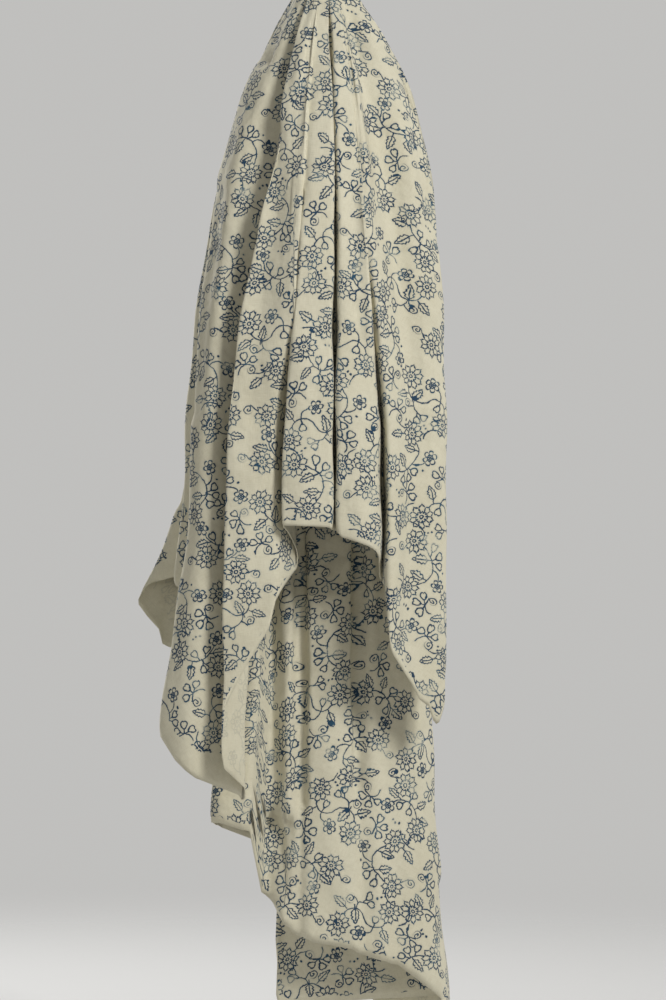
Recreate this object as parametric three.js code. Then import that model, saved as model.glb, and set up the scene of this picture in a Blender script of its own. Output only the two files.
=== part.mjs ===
// A cut length of block-printed cotton, hung by one inner point of the sheet.
// Millimetres, +Z up. The printed front faces -Y, +X is to the viewer's right,
// and the origin is the point that the sheet hangs from.
import * as THREE from 'three';

// The flat sheet is a rectangle. These are the distances from the hang point to its four edges.
const FLAT = { front: 611, back: 976, left: 646, right: 535 };
const THICKNESS = 1.2;

// A thread that runs out from the hang point first lies on the crown, then hangs straight down.
const CROWN_SLACK = 26;
const CROWN_RUN = 80;
// The girth of the hanging sheet grows down to the waist and then stays.
const GIRTH_RUN = 150;
const GIRTH_POWER = 1.15;
// A small dome under the hang point adds this share of the girth, and soon fades.
const CROWN_SWELL = { share: 0.055, rise: 4, fade: 30 };
// The folds are laid out at three depths below the hang point.
const TOP = 150;
const WAIST = 520;
const FOOT = 900;
// Below the foot layout the bundle opens a little more, by this share at its lowest point.
const SPREAD = { from: 840, to: 1140, share: 0.2 };
// Half width and half depth of the bundle at the top layout.
const TOP_HALF = { x: 87, y: 74 };
// Above these depths the sheet is a smooth crown with no folds. They then open over one length.
const CROWN_END = { outer: 45, inner: 45 };
const OPENING = 105;

// Rings of the mesh: those above the shortest edge, and those between it and the hem.
const UPPER_RINGS = [14, 45, 80, 110, 145, 200, 280, 380, 470];
const SLOPE_STEP = 1;
const LOWER_RINGS = 6;
const RING_SPLIT = 470;
// Points on each rounded fold: a soft turn has three, and a sharp one has only its two ends.
const SOFT_STEPS = [0, 0.5, 1];
const SHARP_STEPS = [0, 1];
const SHARPEST_SOFT = 6;
// The rounding of a fold takes up no more than this share of the shorter side beside it.
const LONGEST_ROUNDING = 0.45;

// One row for each fold, in order round the hang point.
// flat: its direction on the flat sheet, in degrees from the front edge towards the right edge.
// aim, reach: its direction and its distance out at the top, as a share of the bundle's half size.
// x, y: its place at the waist. footX, footY: its place at the foot.
// round: how far from the fold its rounding starts. late: above 1, the fold opens further down.
const COLUMNS = ['name', 'flat', 'aim', 'reach', 'x', 'y', 'footX', 'footY', 'round', 'late'];
const FRONT_FOLDS = [
  ['creaseB', 7.6, 6.2, 0.80, 9.8, -64, 9.8, -64, 18, 1],
  ['strip4a', 9.5, 9.3, 1.0, 13.5, -105, 13.5, -105, 5, 1],
  ['strip4b', 16.4, 17, 1.0, 54, -101, 53, -100, 12, 1],
  ['gapD', 24, 19.5, 0.98, 57, -54, 57, -54, 16, 3],
  ['strip5a', 32.7, 22.5, 1.0, 62, -96, 61, -94, 10, 3],
  ['troughF', 39, 32, 0.80, 92, -68, 94, -58, 16, 1],
  ['strip5b', 41.4, 51, 1.06, 117, -60, 113, -50, 14, 0.6],
];
const RIGHT_FOLDS = [
  ['side5', 45, 70, 1.10, 124, -44, 121, -36, 8, 0.4],
  ['gapG', 55, 74, 0.74, 66, -40, 66, -36, 7, 1],
  ['strip6', 65, 81, 1.06, 121, -20, 120, -20, 8, 0.5],
];
const INNER_FOLDS = [
  ['layerH', 78, 82, 0.78, 0, -24, 14, -21, 30, 1],
  ['turn1a', 90, 81, 0.51, -90, -28, -92, -26, 6, 1],
  ['turn1b', 96, 96, 0.49, -92, 36, -92, 36, 6, 1],
  ['pleatL1', 103, 227, 0.912, -86, 104, -86, 90, 6, 1],
  ['pleatL2', 110, 214.5, 0.771, -66, 70, -66, 62, 6, 1],
  ['pleatL3', 117, 200, 0.806, -44, 104, -44, 90, 6, 1],
  ['pleatL4', 124, 195.9, 0.505, -18, 58, -18, 54, 6, 1],
  ['pleatL5', 131, 180, 0.73, 6, 102, 6, 90, 6, 1],
  ['pleatL6', 137, 164.1, 0.505, 32, 58, 32, 54, 6, 1],
  ['pleatL7', 142, 160.9, 0.772, 56, 100, 56, 88, 6, 1],
  ['pleatL8', 145, 142.2, 0.581, 76, 56, 80, 54, 6, 1],
  ['turnLa', 147.5, 140.7, 0.454, -42, 48, -42, 46, 5, 1],
  ['turnLb', 149.3, 130.7, 0.394, -46, 38, -45, 37, 5, 1],
  ['cornerL', 151.3, 125.7, 0.509, -38, 40, -39, 40, 12, 1],
  ['turn2a', 153.3, 138.8, 0.664, 86, 38, 104, 38, 6, 1],
  ['turn2b', 156, 134.5, 0.693, 86, 24, 104, 26, 6, 1],
  ['layerK', 168, 122, 0.62, 20, 21, 20, 24, 8, 1],
  ['turn3a', 177, 107, 0.59, -74, 21, -108, 22, 6, 1],
];
const MIDDLE_FOLDS = [
  ['turn3b', 180, 95, 0.59, -76, -8, -116, -12, 12, 1],
  ['pleatMa', 183, 94.7, 0.63, -60, -12, -76, -22, 6, 1],
  ['creaseMb', 190, 94.5, 0.66, -54, 12, -54, 6, 8, 1],
  ['pleatMb', 196.5, 94.3, 0.70, -38, -13, -38, -13, 8, 1],
  ['creaseMc', 198.6, 94.2, 0.73, -26, 0, -24, -6, 8, 1],
  ['pleatMc', 199, 94.1, 0.76, -18, -12, -16, -13, 8, 1],
  ['pleatMd', 201, 94.0, 0.80, 28, -12, 28, -13, 9, 1],
  ['creaseMe', 201.4, 93.9, 0.83, 33, -2, 34, -8, 6, 1],
  ['pleatMf', 202.2, 93.8, 0.86, 47, -12, 50, -12, 6, 1],
  ['creaseMg', 202.8, 93.8, 0.89, 56, 4, 64, -6, 12, 1],
  ['pleatMh', 206.3, 94.1, 0.94, 78, -8, 96, -4, 14, 1],
  ['side7', 208.8, 99.2, 1.01, 86, 8, 106, 14, 12, 1],
];
const BACK_FOLDS = [
  ['backA', 210, 121, 1.0, 94, 62, 108, 58, 14, 1],
  ['backB', 211.5, 132, 0.96, 88, 100, 98, 92, 14, 1],
  ['backC', 213.5, 147, 1.0, 52, 124, 64, 110, 14, 1],
  ['backD', 217, 160, 0.93, 20, 113, 24, 101, 14, 1],
  ['backE', 221.5, 174, 1.0, -10, 130, -12, 114, 14, 1],
  ['backF', 226, 190, 0.92, -42, 113, -44, 100, 14, 1],
  ['backG', 230.5, 206, 1.0, -74, 128, -76, 112, 14, 1],
  ['backH', 234.5, 220, 0.92, -98, 104, -100, 92, 10, 1],
  ['backI', 237.5, 230, 1.0, -126, 98, -128, 88, 10, 1],
  ['backJ', 239.5, 236, 0.88, -112, 68, -118, 66, 8, 1],
  ['flareB', 241.5, 241, 0.96, -138, 66, -196, 60, 8, 1],
];
const LEFT_FOLDS = [
  ['flare', 251, 246, 1.0, -150, 50, -300, 48, 10, 1],
  ['gapI', 264, 252, 0.84, -100, 22, -104, 20, 7, 1],
  ['strip0', 283, 260, 1.0, -147, 0, -198, -4, 10, 1],
  ['gapJ', 296, 267, 0.84, -104, -26, -106, -26, 7, 1],
  ['strip1a', 308, 276, 1.0, -140, -44, -176, -42, 12, 1],
  ['strip1b', 311, 303, 1.0, -119, -70, -142, -70, 14, 1],
  ['gapA', 313.6, 329, 0.70, -68, -50, -80, -52, 5, 1],
  ['strip2a', 316.4, 331, 1.0, -100, -88, -104, -88, 5, 1],
  ['strip2b', 333, 341, 1.0, -48, -91, -46, -90, 8, 2],
  ['gapE', 339, 346, 0.99, -26, -50, -22, -48, 16, 6],
  ['strip3a', 360.4, 352, 1.0, -44, -102, -43, -102, 6, 2],
  ['strip3b', 366, 363.6, 1.0, 6, -103, 6, -103, 5, 1],
];
// The inner folds share a narrow stretch of the crown, between these two directions.
const INNER_CROWN = [84, 117];
// The left end of the middle layer is tucked up into a sagging pocket: below a distance from
// the hang point these folds hang higher, by this much at their hem.
const POCKET_FROM = 640;
const POCKET_LIFT = { turn3a: 58, turn3b: 62, pleatMa: 56 };
const named = (row) => Object.fromEntries(COLUMNS.map((column, i) => [column, row[i]]));
const crowned = (fold) => ({ ...fold, crown: fold.aim, crownEnd: CROWN_END.outer });
const FOLDS = [
  ...[...FRONT_FOLDS, ...RIGHT_FOLDS].map(named).map(crowned),
  ...[...INNER_FOLDS, ...MIDDLE_FOLDS].map(named).map((fold, i, folds) => ({
    ...fold,
    crown: THREE.MathUtils.lerp(...INNER_CROWN, i / (folds.length - 1)),
    crownEnd: CROWN_END.inner,
  })),
  ...[...BACK_FOLDS, ...LEFT_FOLDS].map(named).map(crowned),
];

const radians = THREE.MathUtils.degToRad;
const mix = THREE.MathUtils.lerp;
const ease = (value, low, high) => THREE.MathUtils.smoothstep(value, low, high);

// How far down the sheet hangs at a distance from the hang point, measured along the cloth.
function drop(run) {
  return run - CROWN_SLACK * (1 - Math.exp(-run / CROWN_RUN));
}

// The share of the full girth at a depth.
function girth(depth) {
  const { share, rise, fade } = CROWN_SWELL;
  const dome = share * (1 - Math.exp(-depth / rise)) * Math.exp(-depth / fade);
  return dome + 1 - Math.exp(-((depth / GIRTH_RUN) ** GIRTH_POWER));
}

// The flat sheet's reach in a direction, from the hang point to its edge.
function edge(degrees) {
  const side = Math.sin(radians(degrees));
  const ahead = Math.cos(radians(degrees));
  const toSide = side > 0 ? FLAT.right / side : FLAT.left / -side;
  const toEnd = ahead > 0 ? FLAT.front / ahead : FLAT.back / -ahead;
  return Math.min(toSide, toEnd);
}

function foldSteps(fold) {
  return fold.round > SHARPEST_SOFT ? SOFT_STEPS : SHARP_STEPS;
}

// The place of one fold in plan at a depth.
function foldPoint(fold, depth) {
  const opened = ease(depth, fold.crownEnd, fold.crownEnd + OPENING);
  const onCrown = { x: Math.sin(radians(fold.crown)), y: -Math.cos(radians(fold.crown)) };
  const onTop = { x: Math.sin(radians(fold.aim)), y: -Math.cos(radians(fold.aim)) };
  const topX = TOP_HALF.x * mix(onCrown.x, onTop.x * fold.reach, opened);
  const topY = TOP_HALF.y * mix(onCrown.y, onTop.y * fold.reach, opened);
  const down = ease(depth, TOP, WAIST) ** fold.late;
  const low = ease(depth, WAIST, FOOT);
  const scaleTop = 1 / girth(TOP);
  const scaleWaist = 1 / girth(WAIST);
  const x = mix(topX * scaleTop, mix(fold.x, fold.footX, low) * scaleWaist, down);
  const y = mix(topY * scaleTop, mix(fold.y, fold.footY, low) * scaleWaist, down);
  const spread = 1 + SPREAD.share * ease(depth, SPREAD.from, SPREAD.to);
  return new THREE.Vector2(x, y).multiplyScalar(girth(depth) * spread);
}

// The whole section at a depth: each fold is a corner whose rounding is one short curve.
function section(depth) {
  const corners = FOLDS.map((fold) => foldPoint(fold, depth));
  const count = corners.length;
  const points = [];
  corners.forEach((corner, i) => {
    const before = corners[(i + count - 1) % count];
    const after = corners[(i + 1) % count];
    const shorter = Math.min(corner.distanceTo(before), corner.distanceTo(after));
    const setback = Math.min(FOLDS[i].round * girth(depth), LONGEST_ROUNDING * shorter);
    const start = corner.clone().lerp(before, setback / corner.distanceTo(before));
    const end = corner.clone().lerp(after, setback / corner.distanceTo(after));
    foldSteps(FOLDS[i]).forEach((t) => {
      const first = start.clone().lerp(corner, t);
      const second = corner.clone().lerp(end, t);
      points.push(first.lerp(second, t));
    });
  });
  return points;
}

// The direction on the flat sheet of each point of a section.
function flatDirections() {
  const count = FOLDS.length;
  return FOLDS.flatMap((fold, i) => {
    const before = FOLDS[(i + count - 1) % count].flat - (i === 0 ? 360 : 0);
    const after = FOLDS[(i + 1) % count].flat + (i === count - 1 ? 360 : 0);
    return foldSteps(fold).map((t) => {
      const half = t < 0.5 ? before : after;
      return mix(fold.flat, half, Math.abs(t - 0.5) * 0.5);
    });
  });
}

const DIRECTIONS = flatDirections();
const LIFTS = FOLDS.flatMap((fold) => foldSteps(fold).map(() => POCKET_LIFT[fold.name] ?? 0));
const RINGS = UPPER_RINGS.length + LOWER_RINGS;

// The distance from the hang point along the cloth, for one column and ring.
function ringRun(column, ring) {
  if (ring < UPPER_RINGS.length) return UPPER_RINGS[ring];
  const step = (ring - UPPER_RINGS.length + 1) / LOWER_RINGS;
  return mix(RING_SPLIT, edge(DIRECTIONS[column]), step);
}

// The depth of one column at a ring.
function ringDepth(column, ring) {
  const run = ringRun(column, ring);
  return drop(run) - LIFTS[column] * ease(run, POCKET_FROM, edge(DIRECTIONS[column]));
}

// The middle surface of the sheet as a grid of rings and columns, with unit normals on the
// printed side. Each normal is square to the section and to the line down the same fold.
function middleGrid() {
  const sections = new Map();
  const sectionAt = (depth) => {
    const key = depth.toFixed(2);
    if (!sections.has(key)) sections.set(key, section(depth));
    return sections.get(key);
  };
  const count = DIRECTIONS.length;
  return Array.from({ length: RINGS }, (_, ring) => DIRECTIONS.map((_, column) => {
    const depth = ringDepth(column, ring);
    const level = sectionAt(depth);
    const above = sectionAt(depth - SLOPE_STEP)[column];
    const below = sectionAt(depth + SLOPE_STEP)[column];
    const before = level[(column + count - 1) % count];
    const after = level[(column + 1) % count];
    const along = new THREE.Vector3(after.x - before.x, after.y - before.y, 0);
    const down = new THREE.Vector3(below.x - above.x, below.y - above.y, -2 * SLOPE_STEP);
    return {
      place: new THREE.Vector3(level[column].x, level[column].y, -depth),
      normal: down.cross(along).normalize(),
    };
  }));
}

// The closed sheet: the printed skin, the reverse skin and the rim along the hem.
function sheetGeometry() {
  const grid = middleGrid();
  const columns = DIRECTIONS.length;
  const positions = [];
  const indices = [];
  [0.5, -0.5].forEach((side) => {
    positions.push(0, 0, side * THICKNESS);
    grid.flat().forEach(({ place, normal }) => {
      positions.push(...place.clone().addScaledVector(normal, side * THICKNESS).toArray());
    });
  });
  const skinSize = 1 + RINGS * columns;
  const at = (skin, ring, column) => skin * skinSize + 1 + ring * columns + (column % columns);
  const face = (skin, a, b, c) => indices.push(...(skin === 0 ? [a, b, c] : [a, c, b]));
  [0, 1].forEach((skin) => {
    for (let column = 0; column < columns; column += 1) {
      face(skin, skin * skinSize, at(skin, 0, column), at(skin, 0, column + 1));
      for (let ring = 0; ring < RINGS - 1; ring += 1) {
        const a = at(skin, ring, column);
        const b = at(skin, ring, column + 1);
        const c = at(skin, ring + 1, column + 1);
        const d = at(skin, ring + 1, column);
        face(skin, a, d, c);
        face(skin, a, c, b);
      }
    }
  });
  for (let column = 0; column < columns; column += 1) {
    const a = at(0, RINGS - 1, column);
    const b = at(0, RINGS - 1, column + 1);
    const c = at(1, RINGS - 1, column + 1);
    const d = at(1, RINGS - 1, column);
    indices.push(a, d, c, a, c, b);
  }
  const geometry = new THREE.BufferGeometry();
  geometry.setAttribute('position', new THREE.Float32BufferAttribute(positions, 3));
  geometry.setIndex(indices);
  geometry.computeVertexNormals();
  return geometry;
}

const cotton = new THREE.MeshStandardMaterial({ color: 0xe9e4d4, roughness: 0.9, metalness: 0 });
const cloth = new THREE.Mesh(sheetGeometry(), cotton);
cloth.name = 'cloth';

const part = new THREE.Group();
part.add(cloth);
export default part;
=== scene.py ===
# %% [markdown]
# # A hanging length of block-printed cotton
# The real object is one rectangle of thin cotton, hand printed with an indigo
# vine of outline flowers. One inner point of the sheet is held up, and the rest
# falls from it in long folds: four edges, four corners and several layers, all
# of one cloth. This lesson rebuilds that cloth as one closed sheet, works out
# where the print lies on every fold, and draws the print with shader nodes.
#
# The first cell loads the solid model. Its own cloth piece is hidden at the end,
# and the sheet built here takes its place.

# %% Load the solid model
import math

import bpy
import numpy as np
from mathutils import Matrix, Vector


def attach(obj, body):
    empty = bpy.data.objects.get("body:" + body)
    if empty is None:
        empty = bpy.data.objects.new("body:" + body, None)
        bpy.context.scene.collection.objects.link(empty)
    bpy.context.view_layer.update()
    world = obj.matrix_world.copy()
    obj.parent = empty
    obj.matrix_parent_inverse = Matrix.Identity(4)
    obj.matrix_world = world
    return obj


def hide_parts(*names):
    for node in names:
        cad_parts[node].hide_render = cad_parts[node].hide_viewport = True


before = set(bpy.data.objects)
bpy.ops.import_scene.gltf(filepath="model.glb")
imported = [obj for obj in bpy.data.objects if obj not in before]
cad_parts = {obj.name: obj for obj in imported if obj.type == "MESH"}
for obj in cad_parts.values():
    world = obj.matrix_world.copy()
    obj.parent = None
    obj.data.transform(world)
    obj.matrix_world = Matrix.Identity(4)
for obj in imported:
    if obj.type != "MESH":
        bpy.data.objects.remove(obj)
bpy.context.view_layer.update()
MM = 0.001
TINY = 1e-9

# %% [markdown]
# The camera stands level with the middle of the cloth and looks straight at it
# through a long lens, so the folds keep their widths from top to bottom. The
# crown above the view and the foot below it are modelled too, because they can
# be seen from other sides.

# %% Camera
VIEW_HEIGHT = 1.0
VIEW_CENTRE = Vector((0.008, -0.07, -0.56))
CAMERA_DISTANCE = 3.6
CAMERA_REACH = 30
LENS = 100.0

camera_data = bpy.data.cameras.new("camera")
camera_data.sensor_fit = "VERTICAL"
camera_data.lens = LENS
camera_data.sensor_height = VIEW_HEIGHT / CAMERA_DISTANCE * LENS
camera_data.clip_end = CAMERA_REACH
camera = bpy.data.objects.new("camera", camera_data)
camera.location = VIEW_CENTRE + Vector((0, -CAMERA_DISTANCE, 0))
camera.rotation_euler = (math.radians(90), 0, 0)
bpy.context.scene.collection.objects.link(camera)
bpy.context.scene.camera = camera
print("camera at", tuple(round(v, 3) for v in camera.location))

# %% [markdown]
# ## The flat cloth and how it hangs
# A thread that runs out from the hang point lies on the crown first and then
# hangs straight down, so a place on the cloth is known by two numbers: its
# direction on the flat sheet and its run, the distance from the hang point
# along the cloth. The run gives the depth. The bundle's girth grows quickly
# with depth and then stays. All lengths in these tables are in millimetres.

# %% Sizes of the flat sheet and of its fall
FLAT = dict(front=611.0, back=976.0, left=646.0, right=535.0)
THICKNESS = 0.7
CROWN_SLACK = 26.0
CROWN_RUN = 80.0
GIRTH_RUN = 150.0
GIRTH_POWER = 1.15
CROWN_SWELL = 0.055
SWELL_RISE = 4
SWELL_FADE = 30
LEAST_DEPTH = 1e-6
TOP = 150.0
WAIST = 520.0
FOOT = 900.0
SPREAD_FROM = 840.0
SPREAD_TO = 1140.0
SPREAD_SHARE = 0.2
TOP_HALF = (87.0, 74.0)
CROWN_END = 16.0
OPENING = 90.0


def ease(value, low, high):
    """0 below low, 1 above high, and a soft S between them."""
    share = np.clip((value - low) / (high - low), 0, 1)
    return share * share * (3 - 2 * share)


def mix(first, second, share):
    return first + (second - first) * share


def drop(run):
    """The depth of a place on the cloth, from its run out from the hang point."""
    return run - CROWN_SLACK * (1 - np.exp(-run / CROWN_RUN))


def girth(depth):
    """How far the bundle has opened at a depth: 0 at the hang point, 1 low down."""
    dome = CROWN_SWELL * (1 - np.exp(-depth / SWELL_RISE)) * np.exp(-depth / SWELL_FADE)
    return dome + 1 - np.exp(-((np.maximum(depth, LEAST_DEPTH) / GIRTH_RUN) ** GIRTH_POWER))


def edge(degrees):
    """The run at which the flat sheet ends, in each flat direction."""
    side = np.sin(np.radians(degrees))
    ahead = np.cos(np.radians(degrees))
    side = np.where(abs(side) < TINY, TINY, side)
    ahead = np.where(abs(ahead) < TINY, TINY, ahead)
    to_side = np.where(side > 0, FLAT["right"] / side, FLAT["left"] / -side)
    to_end = np.where(ahead > 0, FLAT["front"] / ahead, FLAT["back"] / -ahead)
    return np.minimum(to_side, to_end)


print("flat sheet", FLAT["left"] + FLAT["right"], "by", FLAT["front"] + FLAT["back"], "mm")

# %% [markdown]
# ## The fold table
# Every fold is one row. Its flat direction says which thread runs down it. Its
# aim and reach place it in the bundle at the top, x and y place it at the
# waist, and foot_x and foot_y place it at the foot. The rounding says how soft
# the turn is, and late bends the way from the top to the waist: over 1 keeps the
# fold at its place at the top for longer, under 1 lets go of it sooner. The rows
# go once round the hang point, from the razor-thin fold in the middle of the
# front, round the right side, through the inner layers and round the back to the
# left side.
#
# Low on the left the long end sags in a pocket. Its three folds are lifted by
# shortening their fall, where a real cloth takes that length up in a small fold.

# %% Fold table
COLUMNS = "name flat aim reach x y foot_x foot_y round late".split()
OUTER_FRONT = [
    ("crease_b", 7.6, 5.6, 0.80, 9.6, -64, 9.6, -64, 18, 1),
    ("strip_4a", 9.5, 6.7, 1.0, 12, -105, 12, -105, 5, 1),
    ("strip_4b", 16.4, 17, 1.0, 54, -101, 53, -100, 12, 1),
    ("gap_d", 24, 19.5, 0.98, 57, -54, 57, -54, 16, 3),
    ("strip_5a", 32.7, 22.5, 1.0, 62, -96, 61, -94, 10, 3),
    ("trough_f", 39, 32, 0.80, 92, -68, 94, -58, 16, 1),
    ("strip_5b", 41.4, 51, 1.06, 117, -60, 113, -50, 14, 0.6),
    ("side_5", 45, 70, 1.10, 124, -44, 121, -36, 8, 0.4),
    ("gap_g", 55, 74, 0.74, 66, -40, 66, -36, 7, 1),
    ("strip_6", 65, 81, 1.06, 121, -20, 120, -20, 8, 0.5),
]
INNER = [
    ("layer_h", 78, 82, 0.78, 0, -24, 14, -21, 30, 1),
    ("turn_1a", 90, 81, 0.51, -90, -28, -92, -26, 6, 1),
    ("turn_1b", 96, 96, 0.49, -92, 36, -92, 36, 6, 1),
    ("pleat_l1", 103, 227, 0.912, -86, 104, -86, 90, 6, 1),
    ("pleat_l2", 110, 214.5, 0.771, -66, 70, -66, 62, 6, 1),
    ("pleat_l3", 117, 200, 0.806, -44, 104, -44, 90, 6, 1),
    ("pleat_l4", 124, 195.9, 0.505, -18, 58, -18, 54, 6, 1),
    ("pleat_l5", 131, 180, 0.73, 6, 102, 6, 90, 6, 1),
    ("pleat_l6", 137, 164.1, 0.505, 32, 58, 32, 54, 6, 1),
    ("pleat_l7", 142, 160.9, 0.772, 56, 100, 56, 88, 6, 1),
    ("pleat_l8", 145, 142.2, 0.581, 76, 56, 80, 54, 6, 1),
    ("turn_la", 147.5, 140.7, 0.454, -42, 48, -42, 46, 5, 1),
    ("turn_lb", 149.3, 130.7, 0.394, -46, 38, -45, 37, 5, 1),
    ("corner_l", 151.3, 125.7, 0.509, -38, 40, -39, 40, 12, 1),
    ("turn_2a", 153.3, 138.8, 0.664, 86, 38, 104, 38, 6, 1),
    ("turn_2b", 156, 134.5, 0.693, 86, 24, 104, 26, 6, 1),
    ("layer_k", 168, 122, 0.62, 20, 21, 20, 24, 8, 1),
    ("turn_3a", 177, 107, 0.59, -74, 21, -108, 22, 6, 1),
    ("turn_3b", 180, 95, 0.59, -76, -8, -116, -12, 12, 1),
    ("pleat_ma", 183, 94.7, 0.63, -60, -12, -76, -22, 6, 1),
    ("crease_mb", 190, 94.5, 0.66, -54, 12, -54, 6, 8, 1),
    ("pleat_mb", 196.5, 94.3, 0.70, -38, -13, -38, -13, 8, 1),
    ("crease_mc", 198.6, 94.2, 0.73, -26, 0, -24, -6, 8, 1),
    ("pleat_mc", 199, 94.1, 0.76, -18, -12, -16, -13, 8, 1),
    ("pleat_md", 201, 94.0, 0.80, 28, -12, 28, -13, 9, 1),
    ("crease_me", 201.4, 93.9, 0.83, 33, -2, 34, -8, 6, 1),
    ("pleat_mf", 202.2, 93.8, 0.86, 47, -12, 50, -12, 6, 1),
    ("crease_mg", 202.8, 93.8, 0.89, 56, 4, 64, -6, 12, 1),
    ("pleat_mh", 206.3, 94.1, 0.94, 78, -8, 96, -4, 14, 1),
    ("side_7", 208.8, 99.2, 1.01, 86, 8, 106, 14, 12, 1),
]
OUTER_BACK = [
    ("back_a", 210, 121, 1.0, 94, 62, 108, 58, 14, 1),
    ("back_b", 211.5, 132, 0.96, 88, 100, 98, 92, 14, 1),
    ("back_c", 213.5, 147, 1.0, 52, 124, 64, 110, 14, 1),
    ("back_d", 217, 160, 0.93, 20, 113, 24, 101, 14, 1),
    ("back_e", 221.5, 174, 1.0, -10, 130, -12, 114, 14, 1),
    ("back_f", 226, 190, 0.92, -42, 113, -44, 100, 14, 1),
    ("back_g", 230.5, 206, 1.0, -74, 128, -76, 112, 14, 1),
    ("back_h", 234.5, 220, 0.92, -98, 104, -100, 92, 10, 1),
    ("back_i", 237.5, 230, 1.0, -126, 98, -128, 88, 10, 1),
    ("back_j", 239.5, 236, 0.88, -112, 68, -118, 66, 8, 1),
    ("flare_b", 241.5, 241, 0.96, -138, 66, -196, 60, 8, 1),
    ("flare", 251, 246, 1.0, -150, 50, -300, 48, 10, 1),
    ("gap_i", 264, 252, 0.84, -100, 22, -104, 20, 7, 1),
    ("strip_0", 283, 260, 1.0, -147, 0, -198, -4, 10, 1),
    ("gap_j", 296, 267, 0.84, -104, -26, -106, -26, 7, 1),
    ("strip_1a", 308, 276, 1.0, -140, -44, -176, -42, 12, 1),
    ("strip_1b", 311, 303, 1.0, -119, -70, -142, -70, 14, 1),
    ("gap_a", 313.6, 329, 0.70, -68, -50, -80, -52, 5, 1),
    ("strip_2a", 316.4, 331, 1.0, -100, -88, -104, -88, 5, 1),
    ("strip_2b", 333, 341, 1.0, -48, -91, -46, -90, 8, 2),
    ("gap_e", 339, 346, 0.99, -26, -50, -22, -48, 16, 6),
    ("strip_3a", 360.4, 352, 1.0, -44, -102, -43, -102, 6, 2),
    ("strip_3b", 366, 364.6, 1.0, 7.4, -103, 7.4, -103, 5, 1),
]
INNER_CROWN = (84.0, 117.0)
POCKET_FROM = 640.0
POCKET_LIFT = {"turn_3a": 58.0, "turn_3b": 62.0, "pleat_ma": 56.0}

ROWS = OUTER_FRONT + INNER + OUTER_BACK
FOLDS = {name: np.array([row[i] for row in ROWS]) for i, name in enumerate(COLUMNS)}
FOLD_COUNT = len(ROWS)
fold_names = list(FOLDS["name"])
crown_aim = FOLDS["aim"].astype(float)
inner_first = len(OUTER_FRONT)
crown_aim[inner_first:inner_first + len(INNER)] = np.linspace(*INNER_CROWN, len(INNER))
print(FOLD_COUNT, "folds")

# %% [markdown]
# The section of the cloth at one depth is a chain of straight runs with soft
# turns. These helpers give the place of any fold at any depth, and of any point
# between two folds, for whole arrays at once.

# %% Places on the folds
LONGEST_ROUNDING = 0.45


def fold_place(index, depth):
    """The plan position of folds at depths, as an array with x and y last."""
    index = index % FOLD_COUNT
    opened = ease(depth, CROWN_END, CROWN_END + OPENING)
    crown = np.radians(crown_aim[index])
    aim = np.radians(FOLDS["aim"][index].astype(float))
    reach = FOLDS["reach"][index]
    top_x = TOP_HALF[0] * mix(np.sin(crown), np.sin(aim) * reach, opened)
    top_y = TOP_HALF[1] * mix(-np.cos(crown), -np.cos(aim) * reach, opened)
    down = ease(depth, TOP, WAIST) ** FOLDS["late"][index]
    low = ease(depth, WAIST, FOOT)
    at_top = 1 / girth(TOP)
    at_waist = 1 / girth(WAIST)
    foot_x = mix(FOLDS["x"][index], FOLDS["foot_x"][index], low)
    foot_y = mix(FOLDS["y"][index], FOLDS["foot_y"][index], low)
    x = mix(top_x * at_top, foot_x * at_waist, down) * girth(depth)
    y = mix(top_y * at_top, foot_y * at_waist, down) * girth(depth)
    spread = 1 + SPREAD_SHARE * ease(depth, SPREAD_FROM, SPREAD_TO)
    return np.stack([x * spread, y * spread], -1)


def section_place(fold, turn, along, depth):
    """Points of the section: in the turn of a fold (turn 0..1) or, where turn is
    below 0, on the straight run from that fold to the next (along 0..1)."""
    corners = [fold_place(fold + step, depth) for step in (-1, 0, 1, 2)]
    sides = [np.linalg.norm(second - first, axis=-1) for first, second in zip(corners, corners[1:])]

    def turn_ends(middle, before, after, side_before, side_after, index):
        shorter = np.minimum(side_before, side_after)
        rounding = FOLDS["round"][index % FOLD_COUNT] * girth(depth)
        setback = np.minimum(rounding, LONGEST_ROUNDING * shorter)
        start = middle + (before - middle) * (setback / side_before)[..., None]
        end = middle + (after - middle) * (setback / side_after)[..., None]
        return start, end

    start, end = turn_ends(corners[1], corners[0], corners[2], sides[0], sides[1], fold)
    next_start, _ = turn_ends(corners[2], corners[1], corners[3], sides[1], sides[2], fold + 1)
    t = np.clip(turn, 0, 1)[..., None]
    rounded = mix(mix(start, corners[1], t), mix(corners[1], end, t), t)
    straight = mix(end, next_start, along[..., None])
    return np.where((turn < 0)[..., None], straight, rounded)


# %% [markdown]
# ## The grid of columns and rings
# A column is one thread direction, and a ring is one distance from the hang
# point. Turns get several columns each and straight runs are divided by their
# length. Folds that the eye sees get more columns than those deep inside. On the
# flat cloth a turn takes a quarter of the way to each neighbour, and the straight
# run takes the half between.

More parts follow.
